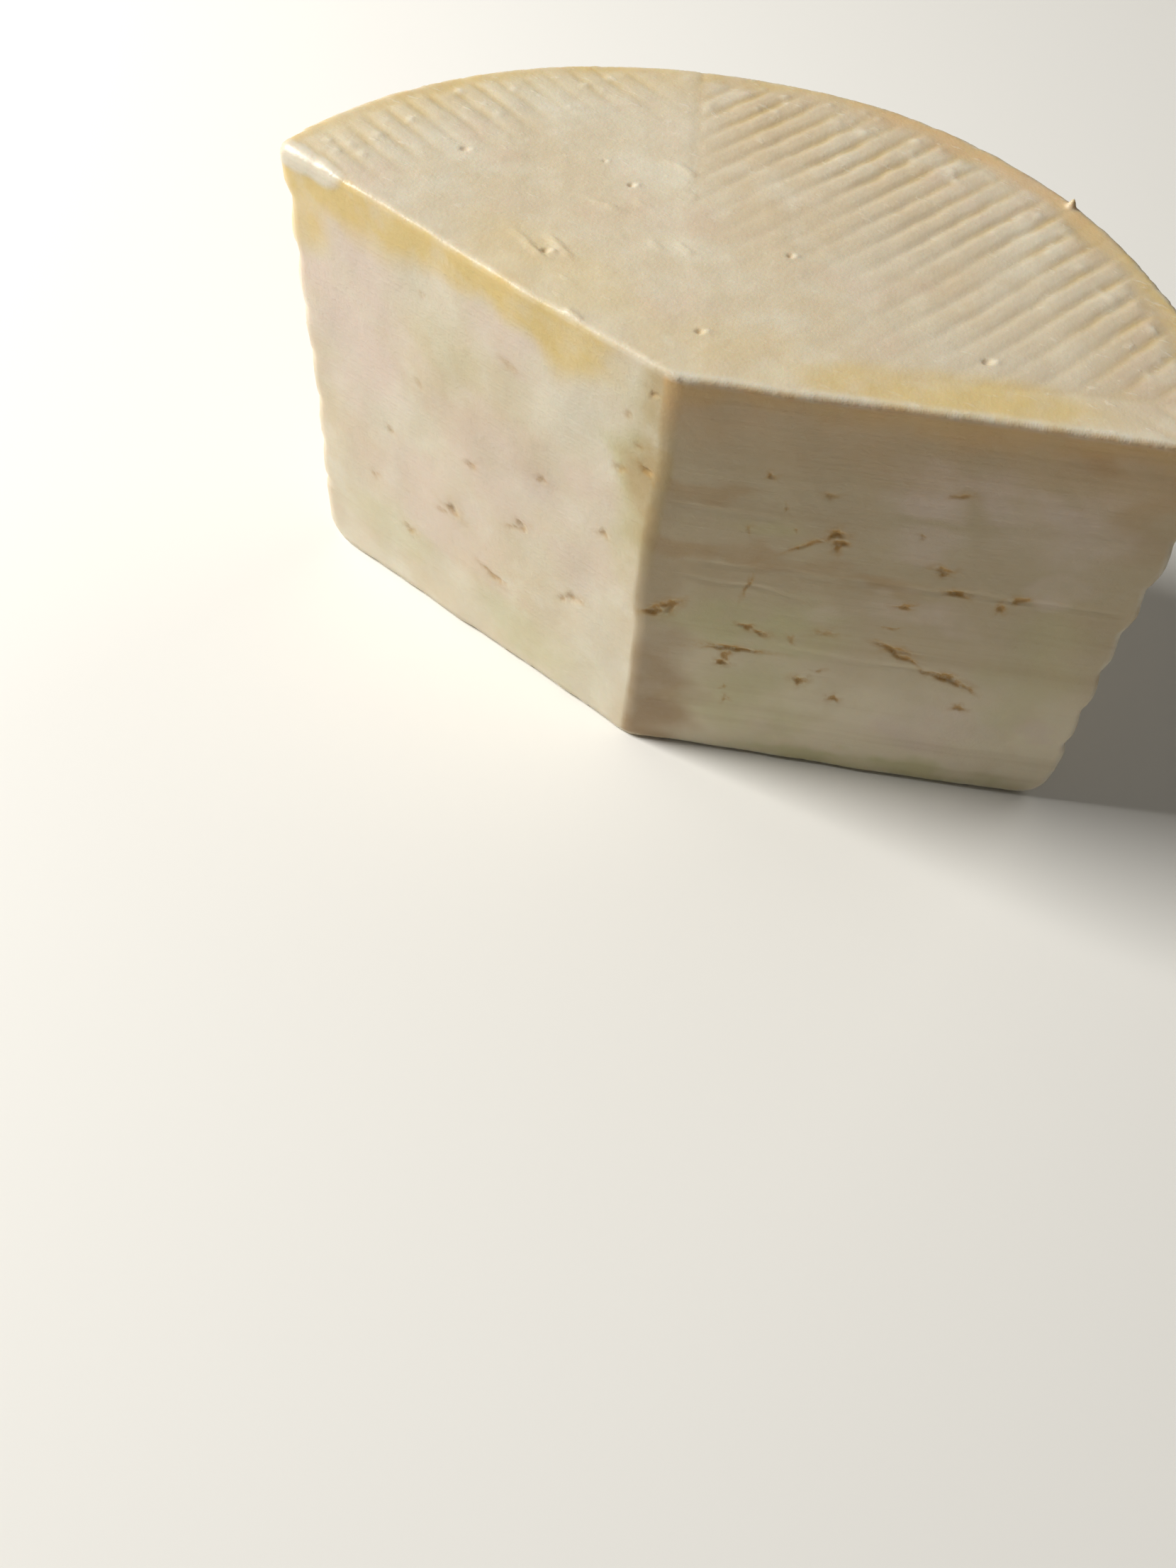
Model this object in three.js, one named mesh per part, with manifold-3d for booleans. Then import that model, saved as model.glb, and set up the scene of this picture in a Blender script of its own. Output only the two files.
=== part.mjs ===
// A large piece cut from a basket-moulded wheel of fresh, pale cheese.
// Two upright cuts meet just past the wheel's axis and leave a wide sector.
// Millimetres, +Z up, standing on its base. The two cuts meet at the -Y side,
// and +Y runs from there to the middle of the rind.

import * as THREE from 'three';
import { mergeVertices } from 'three/addons/utils/BufferGeometryUtils.js';
import Module from 'manifold-3d';

const wasm = await Module();
wasm.setup();

// The wheel that the piece is cut from
const WHEEL_RADIUS = 110;
const WHEEL_HEIGHT = 120;
const CUT_ANGLE = 148.6; // degrees between the two cuts
const TIP_PAST_AXIS = 6.6; // how far past the wheel's axis the cuts meet

// The rind: a lip at the top, rings left by the hoops of the basket, a plain foot
const LIP_HEIGHT = 11;
const LIP_PROUD = 0.8;
const TOP_EDGE_RADIUS = 4;
const RING_PITCH = 14.4;
const RING_DEPTH = 1.2;
const RING_DROOP = 1.5; // above 1, the fullest part of a ring sits below its middle
const FOOT_MIN_HEIGHT = 12;
const BASE_EDGE_RADIUS = 8;

// The top: four fields of straight grooves, side by side like the veins of a palm leaf
const FIELD_COUNT = 4;
const FIRST_SEAM_ANGLE = 19.5; // degrees from +X to a seam between two fields
const GROOVE_PITCH = 5.85;
const GROOVE_WIDTH = 1.6;
const GROOVE_DEPTH = 0.9;
const SEAM_GAP = 1;
const BORDER_WIDTH = 5; // smooth ring between the grooves' ends and the edge
const PLAIN_RADIUS = 38; // the middle of the top has no grooves
const SHORTEST_GROOVE = 4;

// The eyes in the cut faces: [share of the cut's length from the tip,
// share of the height, width, height, slope in degrees, rising away from the tip]
const EYE_DEPTH = 2.2;
const EYES_IN_RIGHT_CUT = [
  [0.04, 0.43, 9.5, 5.5, 8],
  [0.19, 0.34, 12.5, 2.6, 0],
  [0.2, 0.52, 1.8, 5.5, 4],
  [0.23, 0.41, 6.6, 2.2, -8],
  [0.34, 0.68, 5, 4, 20],
  [0.35, 0.27, 3.9, 3.6, 0],
  [0.51, 0.53, 3.9, 2.4, -10],
  [0.52, 0.4, 12, 3.6, -18],
  [0.54, 0.82, 5, 1.6, 0],
  [0.56, 0.64, 3.9, 2.8, 0],
  [0.6, 0.58, 4.4, 2.4, -12],
  [0.65, 0.34, 13, 3.4, -16],
  [0.69, 0.26, 3.4, 2.2, 0],
  [0.72, 0.59, 3, 2.2, 0],
];
const EYES_IN_LEFT_CUT = [
  [0.12, 0.3, 6, 2.4, 12],
  [0.22, 0.62, 3.2, 2.2, 0],
  [0.31, 0.41, 9, 2.8, -14],
  [0.38, 0.2, 4.2, 3, 10],
  [0.48, 0.55, 4, 2.6, -8],
  [0.57, 0.33, 7.5, 2.6, 16],
  [0.66, 0.68, 3, 2, 0],
  [0.74, 0.24, 5, 2.4, -10],
];

// Fineness of the round surfaces
const WHEEL_SIDES = 112;
const RING_STEPS = 5;
const EDGE_STEPS = 4;
const EYE_SIDES = 8;
const EYE_BANDS = 5;

const radians = THREE.MathUtils.degToRad;

// Turns a closed three.js geometry into a solid that can be joined and cut
function solidOf(geometry) {
  const bare = geometry.clone();
  bare.deleteAttribute('normal');
  bare.deleteAttribute('uv');
  const merged = mergeVertices(bare, 1e-4);
  const corners = Array.from(merged.index.array);
  const triVerts = [];
  for (let i = 0; i < corners.length; i += 3) {
    const [a, b, c] = corners.slice(i, i + 3);
    if (a !== b && b !== c && c !== a) triVerts.push(a, b, c);
  }
  return new wasm.Manifold(new wasm.Mesh({
    numProp: 3,
    vertProperties: new Float32Array(merged.attributes.position.array),
    triVerts: new Uint32Array(triVerts),
  }));
}

function geometryOf(solid) {
  const mesh = solid.getMesh();
  const geometry = new THREE.BufferGeometry();
  geometry.setAttribute('position', new THREE.BufferAttribute(mesh.vertProperties, 3));
  geometry.setIndex(new THREE.BufferAttribute(mesh.triVerts, 1));
  return geometry;
}

// Points on a quarter circle, from one angle to another in degrees
function quarterArc(centreX, centreY, radius, fromAngle, toAngle) {
  const points = [];
  for (let i = 0; i <= EDGE_STEPS; i += 1) {
    const angle = radians(fromAngle + (toAngle - fromAngle) * i / EDGE_STEPS);
    points.push(new THREE.Vector2(
      centreX + radius * Math.cos(angle),
      centreY + radius * Math.sin(angle),
    ));
  }
  return points;
}

// Half section of the wheel, from the middle of its base to the middle of its top
function wheelProfile() {
  const notchRadius = WHEEL_RADIUS - LIP_PROUD - RING_DEPTH;
  const ringsTop = WHEEL_HEIGHT - LIP_HEIGHT;
  const ringCount = Math.floor((ringsTop - FOOT_MIN_HEIGHT) / RING_PITCH);
  const footTop = ringsTop - ringCount * RING_PITCH;
  const footRadius = notchRadius + RING_DEPTH;
  const points = [new THREE.Vector2(0, 0)];
  points.push(...quarterArc(
    footRadius - BASE_EDGE_RADIUS, BASE_EDGE_RADIUS, BASE_EDGE_RADIUS, -90, 0));
  points.push(new THREE.Vector2(footRadius, footTop - RING_DEPTH));
  for (let ring = 0; ring < ringCount; ring += 1) {
    for (let step = 0; step < RING_STEPS; step += 1) {
      const share = step / RING_STEPS; // from the ring's lower notch upwards
      const bulge = Math.sin(Math.PI * (1 - share) ** RING_DROOP);
      points.push(new THREE.Vector2(
        notchRadius + RING_DEPTH * bulge,
        footTop + (ring + share) * RING_PITCH,
      ));
    }
  }
  points.push(new THREE.Vector2(notchRadius, ringsTop));
  points.push(new THREE.Vector2(WHEEL_RADIUS, ringsTop + LIP_PROUD + RING_DEPTH));
  points.push(...quarterArc(
    WHEEL_RADIUS - TOP_EDGE_RADIUS, WHEEL_HEIGHT - TOP_EDGE_RADIUS, TOP_EDGE_RADIUS, 0, 90));
  points.push(new THREE.Vector2(0, WHEEL_HEIGHT));
  return points;
}

function wholeWheel() {
  const geometry = new THREE.LatheGeometry(wheelProfile(), WHEEL_SIDES);
  geometry.rotateX(Math.PI / 2);
  return solidOf(geometry);
}

// Direction of a cut in plan, from the tip to the rind: side is 1 on the right, -1 on the left
function cutDirection(side) {
  const halfAngle = radians(CUT_ANGLE / 2);
  return new THREE.Vector3(side * Math.sin(halfAngle), Math.cos(halfAngle), 0);
}

function cutLength() {
  const halfAngle = radians(CUT_ANGLE / 2);
  const across = TIP_PAST_AXIS * Math.sin(halfAngle);
  return TIP_PAST_AXIS * Math.cos(halfAngle) + Math.sqrt(WHEEL_RADIUS ** 2 - across ** 2);
}

// An upright prism that holds everything between the two cuts
function betweenTheCuts() {
  const reach = 2 * WHEEL_RADIUS;
  const right = cutDirection(1).multiplyScalar(reach);
  const outline = new THREE.Shape([
    new THREE.Vector2(0, -TIP_PAST_AXIS),
    new THREE.Vector2(right.x, right.y - TIP_PAST_AXIS),
    new THREE.Vector2(right.x, reach),
    new THREE.Vector2(-right.x, reach),
    new THREE.Vector2(-right.x, right.y - TIP_PAST_AXIS),
  ]);
  const geometry = new THREE.ExtrudeGeometry(outline, {
    depth: 2 * WHEEL_HEIGHT,
    bevelEnabled: false,
  });
  geometry.translate(0, 0, -WHEEL_HEIGHT / 2);
  return solidOf(geometry);
}

// One groove of a field whose middle line is +X, at a distance to the side of that line
function fieldGroove(offset) {
  const start = Math.max(
    Math.abs(offset) + SEAM_GAP,
    Math.sqrt(Math.max(PLAIN_RADIUS ** 2 - offset ** 2, 0)),
  );
  const grooveEnd = WHEEL_RADIUS - BORDER_WIDTH;
  const end = Math.sqrt(Math.max(grooveEnd ** 2 - offset ** 2, 0));
  if (end - start < SHORTEST_GROOVE) return null;
  const section = new THREE.Shape([
    new THREE.Vector2(0, -GROOVE_DEPTH),
    new THREE.Vector2(GROOVE_WIDTH / 2, 0),
    new THREE.Vector2(GROOVE_WIDTH / 2, GROOVE_DEPTH),
    new THREE.Vector2(-GROOVE_WIDTH / 2, GROOVE_DEPTH),
    new THREE.Vector2(-GROOVE_WIDTH / 2, 0),
  ]);
  const geometry = new THREE.ExtrudeGeometry(section, {
    depth: end - start,
    bevelEnabled: false,
  });
  geometry.rotateX(Math.PI / 2);
  geometry.rotateZ(Math.PI / 2);
  geometry.translate(start, offset, WHEEL_HEIGHT);
  return geometry;
}

function topGrooves() {
  const grooves = [];
  const fieldAngle = 360 / FIELD_COUNT;
  const perSide = Math.ceil(WHEEL_RADIUS / GROOVE_PITCH);
  for (let field = 0; field < FIELD_COUNT; field += 1) {
    const middle = radians(FIRST_SEAM_ANGLE + fieldAngle * (field + 0.5));
    for (let i = -perSide; i < perSide; i += 1) {
      const geometry = fieldGroove((i + 0.5) * GROOVE_PITCH);
      if (geometry) grooves.push(solidOf(geometry.rotateZ(middle)));
    }
  }
  return grooves;
}

// Flattened hollows on one cut face, standing half in and half out of it
function eyesOn(side, eyes) {
  const along = cutDirection(side);
  const up = new THREE.Vector3(0, 0, 1);
  return eyes.map(([alongShare, upShare, width, height, slope]) => {
    const geometry = new THREE.SphereGeometry(0.5, EYE_SIDES, EYE_BANDS);
    geometry.scale(width, height, 2 * EYE_DEPTH);
    geometry.rotateZ(radians(slope));
    const place = new THREE.Matrix4().makeBasis(along, up, along.clone().cross(up));
    const fromTip = along.clone().multiplyScalar(alongShare * cutLength());
    place.setPosition(fromTip.x, fromTip.y - TIP_PAST_AXIS, upShare * WHEEL_HEIGHT);
    return solidOf(geometry.applyMatrix4(place));
  });
}

function cheeseWheel() {
  let piece = wholeWheel().intersect(betweenTheCuts());
  const hollows = [
    ...topGrooves(),
    ...eyesOn(1, EYES_IN_RIGHT_CUT),
    ...eyesOn(-1, EYES_IN_LEFT_CUT),
  ];
  for (const hollow of hollows) piece = piece.subtract(hollow);
  const geometry = geometryOf(piece);
  geometry.computeBoundingBox();
  const middle = geometry.boundingBox.getCenter(new THREE.Vector3());
  geometry.translate(-middle.x, -middle.y, -geometry.boundingBox.min.z);
  geometry.computeVertexNormals();
  const freshCheese = new THREE.MeshStandardMaterial({
    color: 0xe9dcc0,
    roughness: 0.5,
    metalness: 0,
  });
  const mesh = new THREE.Mesh(geometry, freshCheese);
  mesh.name = 'cheese_wheel';
  return mesh;
}

const part = new THREE.Group();
part.add(cheeseWheel());

export default part;
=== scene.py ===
"""Looks of a large piece cut from a basket-moulded wheel of fresh, pale cheese.

The piece is one body. Its blank is a drum with two cuts, remeshed into an even
skin. That skin is then drawn onto formulas, in millimetres about the wheel's
axis: the drum with its ringed rind, the grooved top and base, and the eyes in
the two cut faces.
"""
import math
from typing import NamedTuple

import bmesh
import bpy
import numpy as np
from mathutils import Matrix, Vector


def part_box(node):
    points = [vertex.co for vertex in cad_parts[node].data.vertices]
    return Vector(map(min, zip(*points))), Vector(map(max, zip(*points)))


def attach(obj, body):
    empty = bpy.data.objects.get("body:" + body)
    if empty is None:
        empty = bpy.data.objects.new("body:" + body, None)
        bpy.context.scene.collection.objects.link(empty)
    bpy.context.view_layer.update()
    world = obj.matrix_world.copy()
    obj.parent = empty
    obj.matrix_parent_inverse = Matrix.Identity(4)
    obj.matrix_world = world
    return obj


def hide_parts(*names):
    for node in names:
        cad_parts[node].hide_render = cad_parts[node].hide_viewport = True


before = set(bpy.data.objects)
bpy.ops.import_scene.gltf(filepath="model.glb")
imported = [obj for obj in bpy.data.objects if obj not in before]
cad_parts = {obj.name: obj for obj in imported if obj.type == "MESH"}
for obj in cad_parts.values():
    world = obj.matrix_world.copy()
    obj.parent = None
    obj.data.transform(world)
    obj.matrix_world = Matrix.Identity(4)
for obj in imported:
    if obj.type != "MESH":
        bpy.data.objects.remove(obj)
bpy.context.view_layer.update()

MM = 0.001
CHEESE = "cheese_wheel"
LOW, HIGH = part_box(CHEESE)

# The wheel, as in the CAD model
WHEEL_RADIUS = 110.0
WHEEL_HEIGHT = (HIGH.z - LOW.z) / MM
AXIS = Vector((0.0, HIGH.y - WHEEL_RADIUS * MM, LOW.z))
CUT_ANGLE = 148.6
TIP_PAST_AXIS = 6.6
LIP_HEIGHT = 11.0
LIP_PROUD = 0.8
RING_PITCH = 14.4
RING_DEPTH = 1.2
RING_DROOP = 1.5
RING_COUNT = 6
FIRST_SEAM_ANGLE = 19.5
GROOVE_PITCH = 5.85

# Where the wheel is out of true: its left corner bulges and rises, and its back bulges
CORNER_SWELL = 1.3
CORNER_RISE = 1.8
BACK_SWELL = 0.8
BACK_SWELL_ANGLE = 76.0
# How far the whole rind stands out past the CAD model's
RIND_EASE = 0.4

# Edges, as radii
TOP_EDGE = 2.0
BASE_EDGE = 8.0
CUT_EDGE = 1.4
TIP_EDGE = 0.9
# Added to the left cut's edge at the top of the left corner
BLUNT_CORNER = 1.0
# Larger radii that the skin is drawn onto first, so that its points spread evenly round an edge
EASING_EDGES = (5.0, 2.8, 1.7, 0.0)

# The grooves of the top and base
GROOVE_DEPTH = 0.42
GROOVE_HALF_WIDTH = 1.75
BORDER_WIDTH = 4.5
LEFT_BORDER_WIDTH = 1.5
BORDER_SLOPE = 4.0
SEAM_DEPTH = 0.14
# The fields that stand out from the rest
RIGHT_FIELD = 0
LEFT_FIELD = 1
BASE_GROOVE_STRENGTH = 0.8
WORN_RIDGE_HEIGHT = 0.45

# Height of the flap of crust folded over the left corner
LIP_RELIEF = 0.18

# The skin: a groove's pitch is a whole number of half lattice steps, so every
# groove of the top has the same points across it
SKIN_STEP = GROOVE_PITCH / 3.5

# How deep below the top, a cut and the top edge of a cut the skin is made finer, and how far
# round an eye or a pit
FINE_TOP = 3.5
FINE_CUT = 2.6
FINE_EDGE = 2.0
FINE_MARGIN = 1.2

# Eyes in the right cut, in the wheel's own millimetres:
# (along the cut from the tip, height, width, height of the eye, slope, depth).
# The paste has sagged into them, so only a share of the depth is open.
EYE_HOLLOW = 0.28
RIGHT_EYES = [
    (23.6, 98.0, 2.2, 1.8, 20, 1.2),
    (36.8, 94.4, 2.8, 1.6, 15, 0.7),
    (63.6, 99.4, 4.8, 1.3, 18, 0.8),
    (28.2, 89.4, 1.1, 1.8, 0, 0.7),
    (31.6, 83.2, 1.0, 1.0, 0, 0.5),
    (21.3, 81.1, 1.6, 1.8, 0, 0.5),
    (40.2, 83.8, 3.6, 3.2, 0, 2.2),
    (41.6, 80.8, 2.8, 3.6, -35, 2.0),
    (34.2, 79.2, 9.5, 1.0, 37, 1.0),
    (58.3, 86.6, 1.3, 1.3, 0, 0.7),
    (65.4, 77.2, 4.2, 2.4, -8, 1.4),
    (70.5, 70.8, 4.4, 2.2, -10, 1.6),
    (80.9, 67.9, 1.9, 3.0, -8, 1.3),
    (84.6, 71.4, 3.6, 1.8, 38, 1.2),
    (59.8, 64.4, 3.6, 2.0, 5, 1.3),
    (23.5, 63.6, 1.2, 5.6, -12, 0.9),
    (58.8, 56.4, 3.8, 0.9, 8, 0.5),
    (6.6, 52.9, 5.2, 3.6, 30, 2.4),
    (2.8, 50.3, 5.6, 2.6, 25, 2.0),
    (25.2, 49.6, 3.4, 1.8, -10, 1.4),
    (29.0, 48.2, 4.6, 1.4, -22, 1.2),
    (36.5, 47.8, 1.6, 2.2, 20, 0.6),
    (44.2, 51.6, 5.0, 2.8, 10, 0.35),
    (61.2, 48.6, 6.4, 3.2, -20, 2.2),
    (63.4, 46.9, 8.0, 1.5, -24, 1.2),
    (57.6, 50.8, 4.6, 1.1, -8, 0.7),
    (75.6, 41.6, 8.4, 2.8, -16, 2.2),
    (70.2, 42.7, 5.0, 1.2, -2, 0.9),
    (80.6, 39.8, 5.6, 1.2, -30, 0.9),
    (22.6, 41.1, 12.0, 2.0, 1, 2.0),
    (21.8, 38.3, 2.2, 4.6, 0, 1.2),
    (21.2, 35.4, 2.8, 2.2, 0, 2.0),
    (41.0, 33.0, 3.2, 3.6, -25, 1.9),
    (45.2, 37.8, 3.0, 0.9, 10, 0.4),
    (50.5, 28.0, 2.6, 2.2, 0, 1.2),
    (81.0, 31.9, 3.0, 2.4, 0, 1.0),
    (22.6, 26.2, 1.3, 1.3, 0, 0.5),
    (24.0, 21.8, 2.0, 2.6, 0, 0.5),
]

# Eyes in the left cut, in the same terms, and how strongly they are stained beside the right ones
LEFT_EYE_STAIN = 0.55
LEFT_EYES = [
    (3.4, 113.2, 2.4, 1.4, -20, 1.0),
    (9.2, 104.6, 1.4, 2.4, 10, 0.8),
    (6.0, 98.0, 2.6, 1.4, -15, 1.0),
    (3.4, 92.4, 4.2, 2.2, 25, 1.6),
    (10.4, 88.6, 3.4, 2.0, -30, 1.4),
    (69.6, 103.0, 1.2, 1.2, 0, 0.5),
    (43.0, 98.4, 5.0, 2.2, 14, 0.4),
    (13.5, 66.0, 3.0, 2.2, 10, 1.3),
    (21.0, 38.0, 5.4, 2.4, -24, 1.8),
    (24.4, 35.6, 5.2, 1.4, -42, 1.1),
    (33.0, 71.0, 2.6, 1.8, 0, 1.0),
    (38.2, 52.0, 3.4, 3.0, 12, 1.8),
    (41.0, 49.8, 4.8, 1.2, -30, 1.0),
    (47.5, 27.4, 8.2, 2.2, 12, 1.7),
    (55.0, 61.6, 4.4, 1.8, -14, 1.2),
    (61.8, 41.4, 5.2, 3.2, 22, 2.0),
    (66.0, 39.0, 4.2, 1.3, -10, 1.0),
    (72.0, 77.0, 2.0, 1.6, 0, 0.8),
    (77.6, 24.2, 3.6, 2.6, -12, 1.4),
    (83.4, 55.2, 3.0, 1.6, 18, 1.0),
    (90.0, 36.0, 2.4, 2.0, 0, 0.9),
]

# Small pits in the top: (x, y, width, depth)
TOP_PITS = [
    (-33.0, 50.0, 2.2, 0.5),
    (-39.6, 18.5, 2.4, 0.6),
    (8.0, 42.0, 2.0, 0.5),
    (-0.2, 8.7, 2.4, 0.5),
    (56.0, 28.0, 2.8, 0.6),
    (-42.0, 55.5, 1.4, 0.3),
    (-71.5, 43.0, 2.6, 0.35),
]

# The crumb of curd pushed out beside each pit: its height as a share of the pit's depth, and
# its half width
PIT_CRUMB = 0.6
PIT_CRUMB_REACH = 0.8

# Crumbs of dry curd scattered inside the rim: how many, over how many degrees from the first
# seam, and their least and greatest radius from the axis, width and height
RIM_CRUMBS = 70
CRUMB_ARC = 150.0
CRUMB_BELT = (92.0, 105.5)
CRUMB_WIDTH = (1.2, 2.4)
CRUMB_HEIGHT = (0.12, 0.42)

# A splinter of curd that stands on the rim: (plan angle, radius, width, height)
SPLINTER = (57.0, 108.6, 1.7, 2.2)

# Soft patches of tint on the right cut: (along, height, half length, half height, strength)
RIGHT_WHEY = [
    (28.0, 50.0, 30.0, 15.0, 1.0),
    (30.0, 22.0, 24.0, 24.0, 0.8),
    (66.0, 2.0, 52.0, 7.0, 1.3),
    (94.0, 48.0, 14.0, 34.0, 0.5),
    (26.0, 82.0, 16.0, 5.0, 0.6),
]
RIGHT_ROSY = [
    (62.0, 104.0, 22.0, 7.0, 1.0),
    (57.0, 97.0, 12.0, 6.0, 0.8),
    (78.0, 99.0, 14.0, 8.0, 0.9),
    (90.0, 92.0, 20.0, 16.0, 0.6),
    (76.0, 22.0, 22.0, 16.0, 0.8),
    (100.0, 27.0, 5.0, 4.0, 0.6),
    (40.0, 58.0, 9.0, 4.0, 0.8),
    (62.0, 63.0, 18.0, 8.0, 0.7),
    (92.0, 76.0, 8.0, 6.0, 0.6),
    (34.0, 12.0, 7.0, 5.0, 0.6),
    (60.0, 84.0, 16.0, 8.0, 0.5),
]
# Painted shade on the right cut: darker brown patches at the foot of the tip, for the shadow cast there
RIGHT_TIP_FOOT_SHADE = [
    (0.0, 14.0, 20.0, 46.0, 0.85),
    (0.0, 50.0, 9.0, 60.0, 0.4),
]
# Brown tints on the right cut: the first patch, low beside the tip, is painted shade; the others are brown
# streaks and bands of the paste
RIGHT_BROWNED_AND_SHADED = [
    (6.0, 16.0, 15.0, 34.0, 1.0),
    (18.0, 73.0, 34.0, 4.5, 0.8),
    (8.0, 90.0, 16.0, 6.0, 0.7),
    (52.0, 70.5, 14.0, 3.0, 0.8),
    (87.0, 114.0, 7.0, 5.0, 0.9),
    (104.0, 100.0, 10.0, 20.0, 0.4),
]

# Fine creases that the knife left in the right cut: (start, end, height, rise, depth)
KNIFE_CREASES = [
    (40.0, 112.0, 70.6, 0.4, 0.2),
    (4.0, 44.0, 63.6, -1.6, 0.15),
    (6.0, 52.0, 68.6, 2.2, 0.14),
    (2.0, 30.0, 86.0, -1.0, 0.14),
    (30.0, 84.0, 44.0, -2.0, 0.12),
]

# The same tints on the left cut
LEFT_WHEY = [
    (3.0, 92.0, 11.0, 40.0, 1.0),
    (60.0, 90.0, 26.0, 12.0, 0.3),
    (34.0, 12.0, 30.0, 16.0, 0.5),
    (84.0, 20.0, 22.0, 14.0, 0.4),
]
# The first patch, beside the tip, is painted shade; the second is a brown tint of the paste
LEFT_BROWNED_AND_SHADED = [
    (1.0, 98.0, 10.0, 44.0, 1.0),
    (50.0, 76.0, 32.0, 14.0, 0.3),
]
LEFT_ROSY = [
    (92.0, 84.0, 22.0, 40.0, 1.1),
    (44.0, 104.0, 18.0, 9.0, 0.7),
    (48.0, 66.0, 30.0, 24.0, 0.7),
    (70.0, 40.0, 34.0, 26.0, 0.7),
    (20.0, 60.0, 14.0, 34.0, 0.5),
]

# How strongly the rim of the left field has yellowed
LEFT_RIM_STRENGTH = 0.25

# Oily yellow stains on the top, beside a cut: (side of the cut, middle, half size, strength), in
# distances along the cut and in from it
OILY_STAINS = [
    (1, (62.0, 5.5), (34.0, 10.5), 0.75),
    (1, (42.0, 6.0), (26.0, 9.0), 0.6),
    (1, (10.0, 8.0), (30.0, 16.0), 0.2),
    (-1, (40.0, 9.0), (34.0, 16.0), 0.3),
]


def smooth_step(low, high, value):
    """0 at low to 1 at high, with soft ends; low may be the larger."""
    share = np.clip((value - low) / (high - low), 0.0, 1.0)
    return share * share * (3.0 - 2.0 * share)


def wander(points, wavelength, seed):
    """A smooth, seeded, uneven field over points, mostly within -1 to 1, for hand-made shapes."""
    dice = np.random.default_rng(seed)
    total = np.zeros(len(points))
    waves = 7
    for _ in range(waves):
        direction = dice.normal(size=points.shape[1])
        direction /= np.linalg.norm(direction)
        pace = 2.0 * math.pi / (wavelength * dice.uniform(0.7, 1.7))
        total += np.sin(points @ direction * pace + dice.uniform(0.0, 2.0 * math.pi))
    return total / math.sqrt(waves)


def rounded_corner(first, second, radius):
    """Distance to the solid inside two surfaces, with the edge between them rounded."""
    a = first + radius
    b = second + radius
    outside = np.hypot(np.maximum(a, 0.0), np.maximum(b, 0.0))
    return outside + np.minimum(np.maximum(a, b), 0.0) - radius


def cut_direction(side):
    """Plan direction of a cut from the tip: side is 1 on the right, -1 on the left."""
    half = math.radians(CUT_ANGLE / 2)
    return np.array([side * math.sin(half), math.cos(half)])


def along_cut(points, side):
    """Distance of points from the tip, along a cut."""
    return (points[:, :2] + [0.0, TIP_PAST_AXIS]) @ cut_direction(side)


def cut_distance(points, side):
    """Distance outwards from one cut face."""
    along = cut_direction(side)
    outward = np.array([side * along[1], -side * along[0]])
    wave = 0.35 * wander(points, 60.0, 21 + side) + 0.12 * wander(points, 17.0, 31 + side)
    return (points[:, :2] + [0.0, TIP_PAST_AXIS]) @ outward + wave


def left_corner(points):
    """How near points lie to the left corner, where the wheel has swollen, 0 to 1."""
    angle = np.degrees(np.arctan2(points[:, 1], points[:, 0]))
    return smooth_step(112.0, 162.0, angle)


def rind_radius(points):
    """Radius of the rind at each point: a foot, drooping rings and a lip."""
    height = points[:, 2]
    rings_top = WHEEL_HEIGHT - LIP_HEIGHT
    foot_top = rings_top - RING_COUNT * RING_PITCH
    around = np.arctan2(points[:, 1], points[:, 0])[:, None] * WHEEL_RADIUS
    height = height + 0.9 * wander(around, 95.0, 5)
    share = (height - foot_top) / RING_PITCH
    inside = np.clip(1.0 - (share - np.floor(share)), 0.0, 1.0)
    bulge = np.sin(math.pi * inside ** RING_DROOP)
    notch = WHEEL_RADIUS - LIP_PROUD - RING_DEPTH
    ringed = notch + RING_DEPTH * bulge
    foot = notch + RING_DEPTH * smooth_step(0.0, 3.5, foot_top - height)
    lip = notch + (LIP_PROUD + RING_DEPTH) * smooth_step(0.0, 2.6, height - rings_top)
    radius = np.where(height < foot_top, foot, np.where(height > rings_top, lip, ringed))
    angle = np.degrees(np.arctan2(points[:, 1], points[:, 0]))
    swell = CORNER_SWELL * left_corner(points) * smooth_step(50.0, 95.0, points[:, 2])
    swell += BACK_SWELL * np.exp(-((angle - BACK_SWELL_ANGLE) / 22.0) ** 2)
    uneven = 0.4 * wander(points, 70.0, 8) + 0.16 * wander(points, 15.0, 9)
    uneven += 0.07 * wander(points, 5.0, 10)
    return radius + RIND_EASE + swell + uneven


def field_place(points):
    """Where points lie in the grooved fields: along and across a field, off its seam, and which one."""
    angle = np.degrees(np.arctan2(points[:, 1], points[:, 0]))
    field = np.floor((angle - FIRST_SEAM_ANGLE) / 90.0)
    middle = np.radians(FIRST_SEAM_ANGLE + 90.0 * (field + 0.5))
    along = points[:, 0] * np.cos(middle) + points[:, 1] * np.sin(middle)
    across = -points[:, 0] * np.sin(middle) + points[:, 1] * np.cos(middle)
    off_seam = (along - np.abs(across)) / math.sqrt(2.0)
    return along, across, off_seam, field


def outer_distance(points, easing=0.0):
    """Distance outwards from the whole wheel: rind, top and base with their edges."""
    radius = np.hypot(points[:, 0], points[:, 1])
    side = radius - rind_radius(points)
    risen = CORNER_RISE * left_corner(points) * smooth_step(50.0, 108.0, radius)
    uneven = 0.2 * wander(points, 80.0, 11) + 0.05 * wander(points, 9.0, 12)
    top = points[:, 2] - WHEEL_HEIGHT - risen + uneven
    shell = rounded_corner(side, top, max(TOP_EDGE, easing))
    return rounded_corner(shell, -points[:, 2], BASE_EDGE)


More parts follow.
